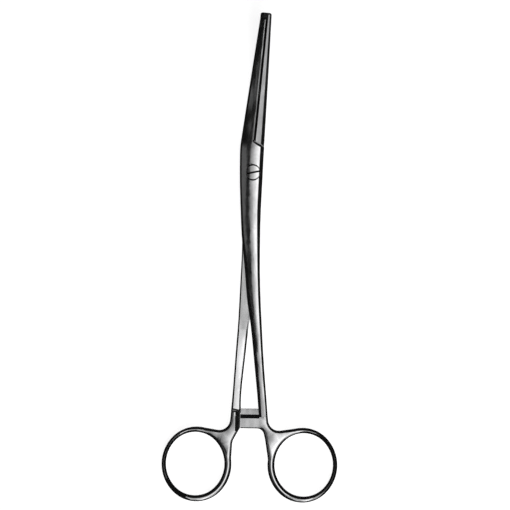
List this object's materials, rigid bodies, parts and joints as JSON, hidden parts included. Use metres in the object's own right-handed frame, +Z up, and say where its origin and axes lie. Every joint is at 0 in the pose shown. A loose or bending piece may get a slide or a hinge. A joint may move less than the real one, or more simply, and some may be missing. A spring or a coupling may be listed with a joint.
{
  "type": "hysterectomy forceps",
  "caption": "Long slender surgical clamp with curved, cross-serrated jaws, interlocking tip teeth, a screwed lap joint, a ratchet and two finger rings.",
  "frame": {"origin": "on the joint screw's axis, in the plane of the underside the forceps lies on", "axes": "+Z up from the table toward the screw's slotted head, +Y along the handles toward the jaw tips, +X to the right seen from above; the jaws are closed at rest"},
  "size_m": [0.0806, 0.2233, 0.0214],
  "materials": {
    "upper_half": "satin stainless",
    "lower_half": "satin stainless",
    "joint_screw": "satin stainless"
  },
  "bodies": {
    "lower": {"lower_half": "lower_half", "joint_screw": "joint_screw"},
    "upper": {"upper_half": "upper_half"}
  },
  "joints": [
    {"name": "jaw_hinge", "type": "hinge", "parent": "lower", "child": "upper", "pos_m": [0, 0, 0], "axis": [0, 0, 1], "range_deg": [0, 40]}
  ]
}
